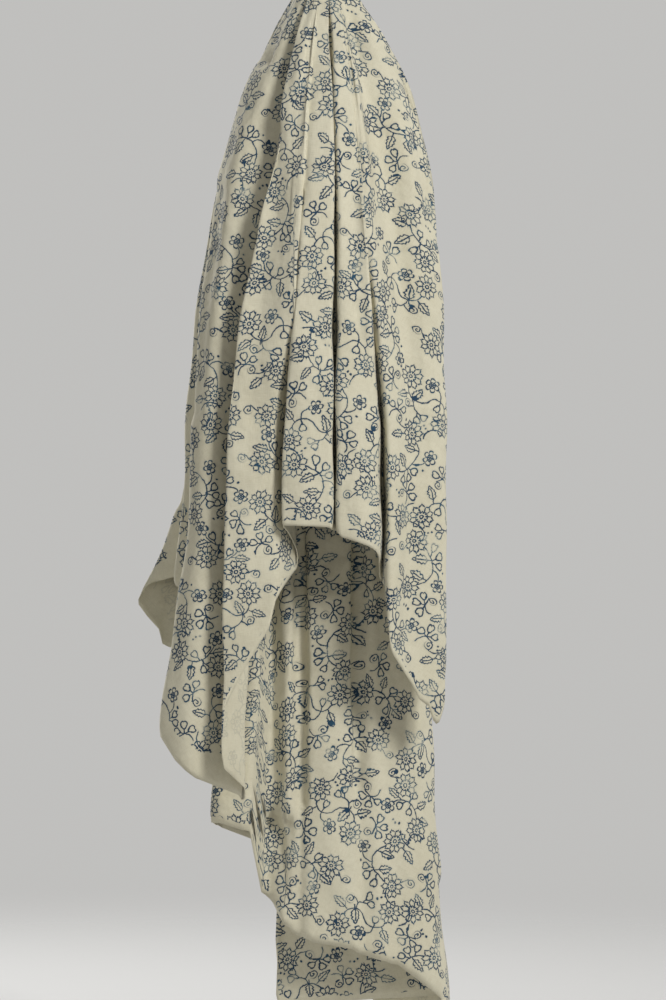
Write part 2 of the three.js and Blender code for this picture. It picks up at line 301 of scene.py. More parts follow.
# %% Columns
TURN_STEPS = 5
HIDDEN_TURN_STEPS = 3
OUTSIDE_SPACING = 7.0
INSIDE_SPACING = 16.0
STRAIGHT_SHARE = 0.7
TURN_SHARE = 0.25
waist_place = fold_place(np.arange(FOLD_COUNT), np.full(FOLD_COUNT, WAIST))
waist_side = np.linalg.norm(np.roll(waist_place, -1, 0) - waist_place, axis=1)
hidden = range(fold_names.index("gap_g"), fold_names.index("turn_3b"))
column_fold, column_turn, column_along, column_flat = [], [], [], []
for i in range(FOLD_COUNT):
    flat = FOLDS["flat"][i]
    before = FOLDS["flat"][i - 1] - (360 if i == 0 else 0)
    after = FOLDS["flat"][(i + 1) % FOLD_COUNT] + (360 if i == FOLD_COUNT - 1 else 0)
    steps = HIDDEN_TURN_STEPS if i in hidden else TURN_STEPS
    for turn in np.linspace(0, 1, steps):
        column_fold.append(i)
        column_turn.append(turn)
        column_along.append(0)
        other = before if turn < 0.5 else after
        column_flat.append(mix(flat, other, abs(turn - 0.5) * 2 * TURN_SHARE))
    spacing = INSIDE_SPACING if i in hidden else OUTSIDE_SPACING
    pieces = max(1, int(waist_side[i] * STRAIGHT_SHARE / spacing))
    for piece in range(1, pieces):
        share = piece / pieces
        column_fold.append(i)
        column_turn.append(-1)
        column_along.append(share)
        column_flat.append(mix(flat, after, TURN_SHARE + (1 - 2 * TURN_SHARE) * share))
column_fold = np.array(column_fold)
column_turn = np.array(column_turn, float)
column_along = np.array(column_along, float)
column_flat = np.array(column_flat, float)
COLUMN_COUNT = len(column_fold)
print(COLUMN_COUNT, "columns")

# %% [markdown]
# Down to one distance from the hang point the rings are true circles on the flat
# cloth. Below it they change step by step into the cloth's own outline, so the
# last ring is the hem all the way round.

# %% Rings
SPLIT = 440.0
UPPER = 60
LOWER = 65
FIRST_RING = 4.0
run_grid = np.zeros((1 + UPPER + LOWER, COLUMN_COUNT))
run_grid[:UPPER + 1] = np.linspace(0, 1, UPPER + 1)[:, None] * SPLIT
run_grid[0] = FIRST_RING
reach_of_column = edge(column_flat)
for step in range(1, LOWER + 1):
    run_grid[UPPER + step] = mix(SPLIT, reach_of_column, step / LOWER)
RING_COUNT = len(run_grid)
fold_lift = np.array([POCKET_LIFT.get(name, 0.0) for name in fold_names])
along_fold = np.where(column_turn < 0, column_along, 0)
next_fold = (column_fold + 1) % FOLD_COUNT
column_lift = mix(fold_lift[column_fold], fold_lift[next_fold], ease(along_fold, 0, 1))
depth_grid = drop(run_grid) - column_lift * ease(run_grid, POCKET_FROM, reach_of_column)
print(RING_COUNT, "rings,", RING_COUNT * COLUMN_COUNT * 4, "triangles")

# %% [markdown]
# Each point of the grid has a depth and a place on the section at that depth.
# Together these give the surface that runs through the middle of the cloth, and
# its normals say which way is out.

# %% Middle surface and its normals
fold_grid = np.broadcast_to(column_fold, depth_grid.shape)
turn_grid = np.broadcast_to(column_turn, depth_grid.shape)
along_grid = np.broadcast_to(column_along, depth_grid.shape)


def surface(depth):
    plan = section_place(fold_grid, turn_grid, along_grid, depth)
    return np.concatenate([plan, -depth[..., None]], -1)


middle = surface(depth_grid)


def grid_normals(points):
    across = np.roll(points, -1, 1) - np.roll(points, 1, 1)
    down = np.gradient(points, axis=0)
    normal = np.cross(down, across)
    return normal / np.maximum(np.linalg.norm(normal, axis=-1, keepdims=True), TINY)


normals = grid_normals(middle)
print("depth from", depth_grid.min(), "to", depth_grid.max())

# %% [markdown]
# ## Soft creases
# Between the big folds the cloth is never quite flat. Each row below is one
# soft trough or ridge: the folds between which it lies, whether x or y says
# where it is, that place and the depth at its two ends, how wide it is and how
# far it stands out of the cloth. A trough has a height below nothing. A slow
# ripple under them keeps every face a little uneven, and the edge curls back a
# little, as a cut and pressed edge does. Nothing here keeps this relief off a
# layer that lies close behind, and in narrow folds and inside the bundle it
# crosses that layer, which real cloth can't do.

# %% Creases and ripple
CREASES = [
    ("strip_1a", "strip_2a", "x", -34, 50, -60, 112, 7, -6),
    ("strip_1a", "strip_2a", "x", -60, 112, -78, 170, 7, -4),
    ("strip_1a", "strip_1b", "x", -108, 250, -132, 470, 9, -4),
    ("strip_2a", "strip_3a", "x", -50, 190, -54, 300, 12, -5),
    ("strip_2a", "strip_2b", "x", -60, 300, -74, 520, 8, -3),
    ("strip_2a", "strip_2b", "x", -76, 560, -84, 700, 10, 3),
    ("strip_3a", "strip_3b", "x", -14, 70, -26, 230, 9, -3),
    ("strip_3a", "strip_3b", "x", -20, 400, -22, 590, 10, 3),
    ("strip_4a", "strip_4b", "x", 28, 250, 34, 370, 7, -4),
    ("strip_4a", "strip_4b", "x", 34, 370, 46, 470, 7, -4),
    ("strip_4a", "strip_4b", "x", 30, 500, 34, 605, 9, 3),
    ("strip_4a", "side_5", "x", 22, 50, 34, 118, 7, -4),
    ("strip_5a", "side_5", "x", 60, 190, 88, 450, 8, -6),
    ("strip_5a", "side_5", "x", 90, 480, 84, 700, 9, -5),
    ("strip_5b", "side_5", "x", 84, 120, 108, 300, 7, -4),
    ("pleat_ma", "pleat_mc", "x", -46, 900, -42, 958, 7, -6),
    ("pleat_mb", "pleat_mc", "x", -25, 600, -25, 870, 6, -6),
    ("pleat_md", "pleat_mf", "x", 32, 600, 33, 850, 6, -6),
    ("pleat_mc", "pleat_md", "x", 8, 640, 2, 900, 10, 3),
    ("pleat_mc", "pleat_mf", "x", 4, 900, 30, 1010, 11, 4),
    ("pleat_mf", "side_7", "x", 84, 780, 100, 980, 11, -4),
    ("pleat_mf", "side_7", "x", 60, 640, 66, 800, 10, 3),
    ("side_7", "back_b", "y", 14, 60, 36, 420, 10, -6),
    ("side_7", "back_c", "y", 62, 110, 78, 560, 11, -5),
    ("side_7", "back_a", "y", 34, 520, 26, 940, 12, 5),
    ("strip_6", "strip_6", "y", -24, 300, -26, 520, 8, -3),
    ("back_b", "back_e", "x", 34, 60, 62, 330, 10, -6),
    ("back_c", "back_f", "x", 12, 120, 22, 700, 12, -4),
    ("back_e", "back_h", "x", -26, 70, -56, 360, 10, -6),
    ("back_e", "back_h", "x", -30, 420, -24, 760, 12, 4),
    ("back_g", "back_j", "x", -70, 110, -108, 480, 10, -5),
    ("back_j", "flare", "y", 58, 240, 50, 560, 9, -4),
]
RIPPLE = 1.1
RIPPLE_TURNS = 3
RIPPLE_WAVES = [((31, 2, 0), (67, -3)), ((53, -5, 1), (24, 1))]
RELIEF_FROM = 20
RELIEF_FULL = 120
EDGE_CURL = 1.6
EDGE_WIDTH = 5.0


def along_segment(across, down, start, end):
    """Distance from the segment between two places, for whole arrays."""
    step = np.array(end) - np.array(start)
    share = ((across - start[0]) * step[0] + (down - start[1]) * step[1]) / (step @ step)
    share = np.clip(share, 0, 1)
    return np.hypot(across - start[0] - share * step[0], down - start[1] - share * step[1])


def between(first_name, last_name):
    """Which columns lie from one fold to another, going round the cloth."""
    first, last = fold_names.index(first_name), fold_names.index(last_name)
    if first <= last:
        return (column_fold >= first) & (column_fold <= last)
    return (column_fold >= first) | (column_fold <= last)


relief = np.zeros(depth_grid.shape)
for first_name, last_name, axis, start, start_depth, end, end_depth, width, height in CREASES:
    away = along_segment(middle[..., "xy".index(axis)], depth_grid, (start, start_depth), (end, end_depth))
    relief += height * np.exp(-((away / width) ** 2)) * between(first_name, last_name)
round_way = np.radians(column_flat) * RIPPLE_TURNS
for (length, turns, shift), (other_length, other_turns) in RIPPLE_WAVES:
    wave = np.sin(run_grid / length + turns * round_way + shift)
    other_wave = np.sin(run_grid / other_length + other_turns * round_way)
    relief += RIPPLE * wave * other_wave
relief *= ease(run_grid, RELIEF_FROM, RELIEF_FULL)
relief -= EDGE_CURL * np.exp(-(reach_of_column - run_grid) / EDGE_WIDTH)
middle = middle + normals * relief[..., None]

# %% [markdown]
# Low on the left the long end is caught up, and the cloth above the tuck hangs
# over it as a lip. On the real cloth the tuck is a short open mouth. Here it is
# only a step: under the lip the cloth goes back and then comes forward again. In
# a few places it crosses a layer close behind.

# %% The tuck under the lip
LIP = dict(
    first="pleat_ma", last="pleat_mc", depth=878.0, fall=0.12, back=15.0, soft=3.0, fade=36.0,
    left=-72.0, right=-38.0, left_margin=12.0, right_margin=10.0)
lip_x = middle[..., 0]
below_lip = depth_grid - LIP["depth"] - (lip_x - LIP["left"]) * LIP["fall"]
step_back = ease(below_lip, -LIP["soft"], LIP["soft"]) * np.exp(-np.maximum(below_lip, 0) / LIP["fade"])
from_left = ease(lip_x, LIP["left"] - LIP["left_margin"], LIP["left"])
to_right = 1 - ease(lip_x, LIP["right"], LIP["right"] + LIP["right_margin"])
across_lip = from_left * to_right
middle[..., 1] += LIP["back"] * step_back * across_lip * between(LIP["first"], LIP["last"])
normals = grid_normals(middle)
print(len(CREASES), "creases, relief from", relief.min(), "to", relief.max())

# %% [markdown]
# ## Where the print lies
# Printed cloth doesn't stretch, so the print has to keep its true size on every
# face. The cloth is parted at the bottoms of its deepest folds. Between two
# partings the print runs out by arc length from the face's middle, which keeps
# one direction all the way down. The cloth left over, which on the real thing
# is tucked out of sight, shows as a step in the print at a parting. Most
# partings lie deep in a fold. Those at gap_e and gap_d, left and right of the
# middle of the front, lie in grooves that are shallow high up, and cut flowers
# can be seen in them close to.
# Directions along the front are worked out high up, where the folds lie closest,
# and those of the back and the inner layers further down.

# %% Faces of the print
FIRST_LEVEL = 4.0
LEVEL_STEP = 10.0
LOWEST_LEVEL = 1170.0
LONGEST_RUN = LOWEST_LEVEL + 100
TURN_MIDDLE = 0.25
FRONT_FACES = [
    ("gap_i", "gap_j", "strip_0", "strip_0"), ("gap_j", "gap_a", "strip_1a", "strip_1b"),
    ("gap_a", "gap_e", "strip_2a", "strip_2b"), ("gap_e", "crease_b", "strip_3a", "strip_3b"),
    ("crease_b", "gap_d", "strip_4a", "strip_4b"), ("gap_d", "gap_g", "strip_5a", "side_5"),
    ("gap_g", "layer_h", "strip_6", "strip_6"),
]
FRONT_ANCHOR = ("strip_3a", 3.0, 190.0)
BACK_FACES = [
    ("layer_h", "turn_la", "pleat_l1", "pleat_l8"), ("turn_la", "turn_2b", "turn_lb", "turn_2a"),
    ("turn_2b", "turn_3a", "layer_k", "layer_k"), ("turn_3a", "gap_i", "side_7", "back_a"),
]
BACK_ANCHOR = ("side_7", 209.0, 600.0)

levels = np.arange(FIRST_LEVEL, LOWEST_LEVEL, LEVEL_STEP)
all_runs = np.arange(0.0, LONGEST_RUN)
level_run = np.interp(levels, drop(all_runs), all_runs)
level_shape = (len(levels), COLUMN_COUNT)
level_places = section_place(
    *(np.broadcast_to(column, level_shape) for column in (column_fold, column_turn, column_along)),
    np.broadcast_to(levels[:, None], level_shape))
level_steps = np.linalg.norm(np.roll(level_places, -1, 1) - level_places, axis=-1)
level_arc = np.cumsum(level_steps, 1) - level_steps
level_round = level_steps.sum(1, keepdims=True)
round_place = column_fold + np.where(column_turn < 0, 0.5 + column_along / 2, column_turn / 2)


def columns_between(first_place, last_place):
    """The columns from one place to another, going round the cloth. A place is a
    fold's number, with its turn in the first half and the run after it in the second."""
    if first_place <= last_place:
        return np.flatnonzero((round_place >= first_place) & (round_place < last_place))
    return np.flatnonzero((round_place >= first_place) | (round_place < last_place))


def arc_from(arc, middle):
    """The arc from a face's middle, the short way round the cloth."""
    return (arc - middle + level_round / 2) % level_round - level_round / 2


CHAINS = ((FRONT_FACES, FRONT_ANCHOR), (BACK_FACES, BACK_ANCHOR))
print_direction = np.zeros(level_shape)
for faces_in_chain, (anchor_name, anchor_direction, anchor_depth) in CHAINS:
    level = int(np.argmin(abs(levels - anchor_depth)))
    middles = {}
    for _, _, first_name, last_name in faces_in_chain:
        first, last = fold_names.index(first_name), fold_names.index(last_name)
        middles[first_name] = level_arc[:, columns_between(first, last + 0.5)].mean(1, keepdims=True)
    for parting, next_parting, first_name, _ in faces_in_chain:
        columns = columns_between(fold_names.index(parting) + TURN_MIDDLE,
                                  fold_names.index(next_parting) + TURN_MIDDLE)
        apart = arc_from(middles[first_name], middles[anchor_name])[level, 0]
        centre = anchor_direction + np.degrees(apart / level_run[level])
        away = arc_from(level_arc[:, columns], middles[first_name])
        print_direction[:, columns] = centre + np.degrees(away / level_run[:, None])
        print("from", parting, "to", next_parting, "printed round", round(float(centre), 1), "degrees")

# %% [markdown]
# The directions were found at even depths. Each point now takes its own from the
# depths above and below it, and with its run that gives its place on the printed
# cloth. Its distance from the hem and from one selvedge is kept as well, because
# the printer leaves a plain margin along both.

# %% Print place and hem distance of every point
direction_columns = []
for column in range(COLUMN_COUNT):
    direction_columns.append(np.interp(depth_grid[:, column], levels, print_direction[:, column]))
direction_grid = np.radians(np.stack(direction_columns, 1))
print_place = np.stack([run_grid * np.sin(direction_grid), -run_grid * np.cos(direction_grid)], -1)
flat_x = run_grid * np.sin(np.radians(column_flat))
flat_y = run_grid * np.cos(np.radians(column_flat))
hem_distance = np.minimum.reduce([FLAT["right"] - flat_x, FLAT["left"] + flat_x,
                                  FLAT["front"] - flat_y, FLAT["back"] + flat_y])
selvedge_distance = FLAT["left"] + flat_x

# %% [markdown]
# ## One closed sheet
# The middle surface is moved out and in by half the cloth's thickness. The two
# skins meet in a narrow strip along the hem, and each is closed by a fan round
# the hang point, so the sheet has no open edge.

# %% Closed sheet
FAR_INSIDE = 500.0
skin_size = 1 + RING_COUNT * COLUMN_COUNT
points = []
for side in (0.5, -0.5):
    points.append(np.array([[0, 0, side * THICKNESS]]))
    points.append((middle + normals * side * THICKNESS).reshape(-1, 3))
points = np.concatenate(points) * MM
index = (1 + np.arange(RING_COUNT)[:, None] * COLUMN_COUNT + np.arange(COLUMN_COUNT)[None, :])
following = np.roll(index, -1, 1)
quads = np.stack([index[:-1], index[1:], following[1:], following[:-1]], -1).reshape(-1, 4)
faces = [tuple(q) for q in quads.tolist()]
faces += [tuple(reversed([v + skin_size for v in q])) for q in quads.tolist()]
for column in range(COLUMN_COUNT):
    a, b = int(index[0, column]), int(following[0, column])
    faces.append((0, a, b))
    faces.append((skin_size, b + skin_size, a + skin_size))
    a, b = int(index[-1, column]), int(following[-1, column])
    faces.append((a, a + skin_size, b + skin_size, b))
mesh = bpy.data.meshes.new("printed_cloth")
mesh.from_pydata(points.tolist(), [], faces)
mesh.update()
for polygon in mesh.polygons:
    polygon.use_smooth = True


def both_skins(values, at_apex):
    """One value for every vertex: the hang point and the rings, once for each skin."""
    one_skin = np.concatenate([[at_apex], values.reshape(-1, *values.shape[2:])])
    return np.concatenate([one_skin, one_skin])


vertex_print = both_skins(print_place * MM, [0, 0])
loop_vertex = np.zeros(len(mesh.loops), int)
mesh.loops.foreach_get("vertex_index", loop_vertex)
print_map = mesh.uv_layers.new(name="print")
print_map.data.foreach_set("uv", vertex_print[loop_vertex].ravel())
for name, values in (("hem_distance", both_skins(hem_distance, FAR_INSIDE)),
                     ("selvedge_distance", both_skins(selvedge_distance, FAR_INSIDE)),
                     ("reverse", np.repeat([0.0, 1.0], skin_size))):
    attribute = mesh.attributes.new(name, "FLOAT", "POINT")
    attribute.data.foreach_set("value", values.astype(np.float32))
cloth = bpy.data.objects.new("printed_cloth", mesh)
bpy.context.scene.collection.objects.link(cloth)
print(len(mesh.polygons), "faces")

# %% [markdown]
# ## Writing shader maths as plain sums
# A printed line is a distance: a place on the cloth is inked where it lies
# within half a line's width of the drawn curve. That makes the print a long sum
# of distances, so one small class wraps a node's output and lets Python's own
# operators add the Math nodes.

# %% Shader sums
class Wire:
    """One output of a node, with Python's operators turned into Math nodes."""

    tree = None

    def __init__(self, socket):
        self.socket = socket

    @classmethod
    def node(cls, kind, settings=None, inputs=None, output=0):
        made = cls.tree.nodes.new(kind)
        for name, value in (settings or {}).items():
            setattr(made, name, value)
        for name, value in (inputs or {}).items():
            socket = made.inputs[name]
            if isinstance(value, Wire):
                cls.tree.links.new(value.socket, socket)
            else:
                socket.default_value = value
        return cls(made.outputs[output])

    @classmethod
    def sum_of(cls, operation, *values):
        return cls.node("ShaderNodeMath", {"operation": operation}, dict(enumerate(values)))

    @classmethod
    def vector(cls, operation, *values, output=0):
        return cls.node("ShaderNodeVectorMath", {"operation": operation}, dict(enumerate(values)), output)

    def __add__(self, other):
        return Wire.sum_of("ADD", self, other)

    __radd__ = __add__

    def __sub__(self, other):
        return Wire.sum_of("SUBTRACT", self, other)

    def __rsub__(self, other):
        return Wire.sum_of("SUBTRACT", other, self)

    def __mul__(self, other):
        return Wire.sum_of("MULTIPLY", self, other)

    def __abs__(self):
        return Wire.sum_of("ABSOLUTE", self)

    def least(self, other):
        return Wire.sum_of("MINIMUM", self, other)

    def most(self, other):
        return Wire.sum_of("MAXIMUM", self, other)

    def length(self):
        return Wire.vector("LENGTH", self, output="Value")

    def parts(self):
        split = Wire.tree.nodes.new("ShaderNodeSeparateXYZ")
        Wire.tree.links.new(self.socket, split.inputs[0])
        return Wire(split.outputs[0]), Wire(split.outputs[1])

    def ramp(self, low, high, before, after):
        ends = {"From Min": low, "From Max": high, "To Min": before, "To Max": after}
        return Wire.node("ShaderNodeMapRange", {"interpolation_type": "SMOOTHSTEP"}, {"Value": self, **ends})

    def fade(self, low, high):
        """1 below low, 0 above high."""
        return self.ramp(low, high, 1.0, 0.0)

    def rise(self, low, high):
        """0 below low, 1 above high."""
        return self.ramp(low, high, 0.0, 1.0)


# %% [markdown]
# ## The block's repeat
# A printer's block carries one repeat of the vine, and the printer stamps it
# side by side. Here the repeat is a rectangle with six sprigs in it: three
# different ones, each placed twice, once turned or mirrored. Wrapping the
# distance from a sprig's centre by the repeat stamps it over the whole cloth
# and lets a sprig run over the repeat's edge.

# %% The repeat and the sprigs on it
REPEAT = (156.0, 198.0)
SPRIGS = {
    "curved": [(39, 34, 12, 1), (116, 134, 172, -1)],
    "arched": [(40, 99, -8, -1), (118, 4, 150, 1)],
    "hooked": [(37, 166, 20, -1), (118, 67, -14, 1)],
}

# %% [markdown]
# Each sprig is a short list of parts in its own frame: places in millimetres
# from its centre and turns in degrees. Stems are arcs of circles, given by the
# circle's centre and radius, the direction of the arc's middle and half the
# angle that it covers.

# %% What is on each sprig
STEMS = {
    "curved": [
        (-12.2, -4.4, 13, 90, 70), (12.2, 4.4, 13, -90, 70), (-3.2, 8.6, 9, 135, 45), (3.2, -8.6, 9, -45, 45),
        (-34, -34, 14, 40, 55),
    ],
    "arched": [(0, -14, 20, 90, 60), (9, 6, 9, 150, 32), (-33, -30, 14, 30, 60)],
    "hooked": [(-6, 0, 22, 0, 65), (16, 10, 10, -45, 45), (-30, 34, 16, -40, 50)],
    "spray": [(0, -9, 9, 50, 42)],
}
BIG_FLOWERS = {
    "curved": [(-28.6, -11.6), (28.6, 11.6)], "arched": [(-23.5, -14.7), (15.2, 20)],
    "hooked": [(-7.8, 25.1), (-7.8, -25.1)],
}
SMALL_FLOWERS = {"curved": [(4.4, 18.2)], "arched": [(21, -10.5)], "hooked": [(26.3, 17.5)]}
LEAVES = {
    "curved": [(-26.8, 16.4, 120), (30.2, -13.6, -40), (12, 0, 100)],
    "arched": [(-16.2, 14.1, 120), (-29.4, -0.8, 165), (22.3, 5.5, 10)],
    "hooked": [(-0.2, 9.2, 200), (0.7, -7.8, 170), (-25, 7.4, 230)],
}
HEARTS = {
    "curved": [(-6.6, -17.6, 180), (-3.1, -25.1, 230), (-12.4, -1.2, -90)],
    "arched": [(-5.4, -3.2, -110), (8.9, -2.9, -60), (-1.5, 17, 105)],
    "hooked": [(22.6, -14, -30), (14.9, -22.7, -70), (23.6, -5, 15)],
    "spray": [(-0.8, 9.3, 95), (8.1, 4.7, 30), (-9, 2.4, 165)],
}
CURLS = {
    "curved": [(19.1, -18.3, -135, 1)], "arched": [(37, 23, -110, 1)], "hooked": [(-29, -19.3, 60, 1)],
    "spray": [(-5.6, -8.3, 120, 1)],
}
DOTS = {
    "curved": [(-13, -25), (-17, -27), (-21, -28)], "arched": [(-2, -20), (2.5, -21.5), (7, -20.5)],
    "hooked": [(-22, 24), (-24, 28.5), (30, 2)],
}

# %% [markdown]
# ## Sprays in the clear places
# The three sprigs leave clear places between them, and a block's cutter fills
# such places with buds. The widest clear place takes a small spray, then the
# widest of what is left, and so on. To find them, each motif counts as a disc
# and each stem as a row of dots. A point's clearance is its distance to the
# nearest disc, measured over the repeat's edges too.

# %% Finding the clear places
SPRAY_TURNS = [(20, 1), (-70, -1), (100, 1), (190, -1), (-30, 1)]
SPRAY_DISC = 9.0
CLEARANCE_STEP = 1.5
STEM_DOTS = 9
STEM_DISC = 0.6
BIG_FLOWER_SIZE = 12.8
SMALL_FLOWER_SIZE = 7.6
DISCS = [
    (BIG_FLOWERS, BIG_FLOWER_SIZE), (SMALL_FLOWERS, SMALL_FLOWER_SIZE),
    (LEAVES, 6.5), (HEARTS, 4.5), (CURLS, 4.8), (DOTS, 1.0),
]


def sprig_discs(kind):
    """x, y and radius of the discs that cover one sprig, in its own frame."""
    found = [(row[0], row[1], radius) for table, radius in DISCS for row in table[kind]]
    for x, y, radius, aim, half in STEMS[kind]:
        for angle in np.radians(np.linspace(aim - half, aim + half, STEM_DOTS)):
            found.append((x + radius * math.cos(angle), y + radius * math.sin(angle), STEM_DISC))
    return found


def wrapped_distance(x, y):
    """Distance of every grid point to x, y, taking the repeat's nearest copy."""
    across = (clear_x - x + REPEAT[0] / 2) % REPEAT[0] - REPEAT[0] / 2
    along = (clear_y - y + REPEAT[1] / 2) % REPEAT[1] - REPEAT[1] / 2
    return np.hypot(across, along)


grid_across = np.arange(0, REPEAT[0], CLEARANCE_STEP)
grid_along = np.arange(0, REPEAT[1], CLEARANCE_STEP)
clear_x, clear_y = np.meshgrid(grid_across, grid_along)
clearance = np.full(clear_x.shape, math.inf)
for kind, stamps in SPRIGS.items():
    for at_x, at_y, turn, mirror in stamps:
        cosine = math.cos(math.radians(turn))
        sine = math.sin(math.radians(turn))
        for x, y, radius in sprig_discs(kind):
            disc_x = at_x + x * cosine - mirror * y * sine
            disc_y = at_y + x * sine + mirror * y * cosine
            clearance = np.minimum(clearance, wrapped_distance(disc_x, disc_y) - radius)

sprays = []
for turn, mirror in SPRAY_TURNS:
    widest = np.unravel_index(np.argmax(clearance), clearance.shape)
    x = float(clear_x[widest])
    y = float(clear_y[widest])
    print(f"spray at {x:.1f}, {y:.1f}, with {clearance[widest]:.1f} mm clear all round")
    sprays.append((x, y, turn, mirror))
    clearance = np.minimum(clearance, wrapped_distance(x, y) - SPRAY_DISC)
SPRIGS["spray"] = sprays

# %% [markdown]
# ## Drawing each kind of motif once
# Two flowers never overlap, so the shader first finds which flower's centre is
# nearest and only then draws one flower round it. The same is done for leaves,
# heart buds and curls, which keeps the number of nodes small.

# %% Motif helpers
def placed(vector, x, y, turn=0.0, mirror=1):
    """The vector as seen from a motif that sits at x, y and is turned."""
    return Wire.node("ShaderNodeMapping", {"vector_type": "TEXTURE"},
                     {"Vector": vector, "Location": (x, y, 0),
                      "Rotation": (0, 0, math.radians(turn)), "Scale": (1, mirror, 1)})


def nearest(candidates):
    """The candidate vector that is shortest, and its length."""
    best = candidates[0]
    best_length = best.length()
    for other in candidates[1:]:
        other_length = other.length()
        closer = Wire.sum_of("LESS_THAN", other_length, best_length)
        best = Wire.node("ShaderNodeMix", {"data_type": "VECTOR"}, {0: closer, 4: best, 5: other}, 1)
        best_length = best_length.least(other_length)
    return best, best_length


def shaped(value, stops):
    """A curve given by a few stops: value 0..1 looked up in them."""
    made = Wire.node("ShaderNodeFloatCurve", {}, {"Value": value})
    curve = made.socket.node.mapping.curves[0]
    curve.points[0].location = stops[0]
    curve.points[1].location = stops[-1]
    for stop in stops[1:-1]:
        curve.points.new(*stop)
    made.socket.node.mapping.update()
    return made


def flower(vector, radius, size, petals, petal_shape, ring, notch):
    """Distance to the lines of a flower with pointed petals round two rings."""
    x, y = vector.parts()
    angle = Wire.sum_of("ARCTAN2", y, x)
    across = Wire.sum_of("PINGPONG", angle * (petals / math.tau), 0.5) * 2
    outline = abs(radius - shaped(across, petal_shape) * size) * 0.75
    half_petal = math.pi / petals
    outside_sides = abs(radius - (ring + notch) / 2 * size) - (notch - ring) / 2 * size
    sides = ((1 - across) * radius * half_petal).most(outside_sides)
    inner = abs(radius - shaped(across, petal_shape) * (ring * 1.35) * size)
    return outline.least(sides).least(inner).least(abs(radius - 0.13 * size))


def leaf(vector, length, width):
    """Distance to the lines of a toothed leaf that points along x, with its stalk."""
    x, y = vector.parts()
    across = abs(y)
    half = shaped(x * (1 / length) + 0.5, LEAF_SHAPE) * width
    outline = abs(across - half).most(abs(x) - length / 2) * 0.85
    vein = across.most(abs(x + 4.0) - (length / 2 + 0.5))
    return outline.least(vein)


def heart(vector, radius, size):
    """Distance to the line of a heart-shaped bud with its stalk along -x."""
    x, y = vector.parts()
    angle = abs(Wire.sum_of("ARCTAN2", y, x)) * (1 / math.pi)
    outline = abs(radius - shaped(angle, HEART_SHAPE) * size) * 0.85
    stalk = abs(y).most(abs(x + size + 2.5) - 3.0)
    return outline.least(stalk)


def curl(vector, radius, pitch, reach):
    """Distance to a tendril: a short spiral that leaves along a straight tail."""
    x, y = vector.parts()
    angle = Wire.sum_of("ARCTAN2", y, x)
    turns = radius * (1 / pitch) - angle * (1 / math.tau)
    spiral = (0.5 - abs(Wire.sum_of("FRACT", turns) - 0.5)) * pitch
    spiral = spiral.most(radius - reach)
    tail = abs(x - reach).most(abs(y + 4.5) - 4.5)
    return spiral.least(tail)


def stem(vector, radius, half_angle):
    """Distance to an arc of a circle whose middle lies along x."""
    x, _ = vector.parts()
    return abs(vector.length() - radius).most(radius * math.cos(math.radians(half_angle)) - x)


PETAL_SHAPE = [(0, 1.08), (0.1, 1.0), (0.3, 0.93), (0.65, 0.88), (0.88, 0.80), (1, 0.66)]
ROUND_PETAL_SHAPE = [(0, 1.0), (0.35, 0.97), (0.7, 0.84), (1, 0.52)]
LEAF_SHAPE = [(0, 0), (0.1, 0.45), (0.27, 0.92), (0.33, 0.74), (0.48, 1.0), (0.55, 0.72), (0.68, 0.78),
              (0.75, 0.45), (0.86, 0.34), (1, 0)]
HEART_SHAPE = [(0, 0.52), (0.1, 0.92), (0.22, 1.0), (0.45, 0.86), (0.7, 0.74), (0.88, 0.9), (1, 1.15)]

# %% [markdown]
# The distance of every motif is worked out and the least one wins. The ink is
# full where that distance is under half a line's width. A flower is given by its
# size, its number of petals, their shape and the two rings between which the
# petals' sides are drawn, and the others by their sizes in millimetres.

# %% Distance to the nearest printed line
BIG_FLOWER = (BIG_FLOWER_SIZE, 10, PETAL_SHAPE, 0.34, 0.68)
SMALL_FLOWER = (SMALL_FLOWER_SIZE, 6, ROUND_PETAL_SHAPE, 0.30, 0.52)
LEAF_SIZE = (16.0, 4.4)
HEART_SIZE = 4.3
CURL_SIZE = (3.2, 4.4)
DOT_RADIUS = 0.6


def printed_distance(place):
    """Distance from a place on the block to the nearest line that it prints."""
    local = {}
    for kind, stamps in SPRIGS.items():
        seen = []
        for x, y, turn, mirror in stamps:
            offset = Wire.vector("SUBTRACT", place, (x, y, 0))
            half = (REPEAT[0] / 2, REPEAT[1] / 2, 1)
            wrapped = Wire.vector("WRAP", offset, half, tuple(-h for h in half))
            seen.append(placed(wrapped, 0, 0, turn, mirror))
        local[kind], _ = nearest(seen)

    def every(table):
        return [placed(local[kind], *row) for kind, rows in table.items() for row in rows]

    distance = flower(*nearest(every(BIG_FLOWERS)), *BIG_FLOWER)
    distance = distance.least(flower(*nearest(every(SMALL_FLOWERS)), *SMALL_FLOWER))
    distance = distance.least(leaf(nearest(every(LEAVES))[0], *LEAF_SIZE))
    distance = distance.least(heart(*nearest(every(HEARTS)), HEART_SIZE))
    distance = distance.least(curl(*nearest(every(CURLS)), *CURL_SIZE))
    distance = distance.least(nearest(every(DOTS))[1] - DOT_RADIUS)
    for kind, rows in STEMS.items():
        for x, y, radius, aim, half in rows:
            distance = distance.least(stem(placed(local[kind], x, y, aim), radius, half))
    return distance


# %% [markdown]
# ## Cotton, ink and weave
# A block is cut by hand and its ink sits in the threads, so a printed line
# wanders and has a ragged edge. Noise shifts each place a little before its
# distance to the nearest line is measured.

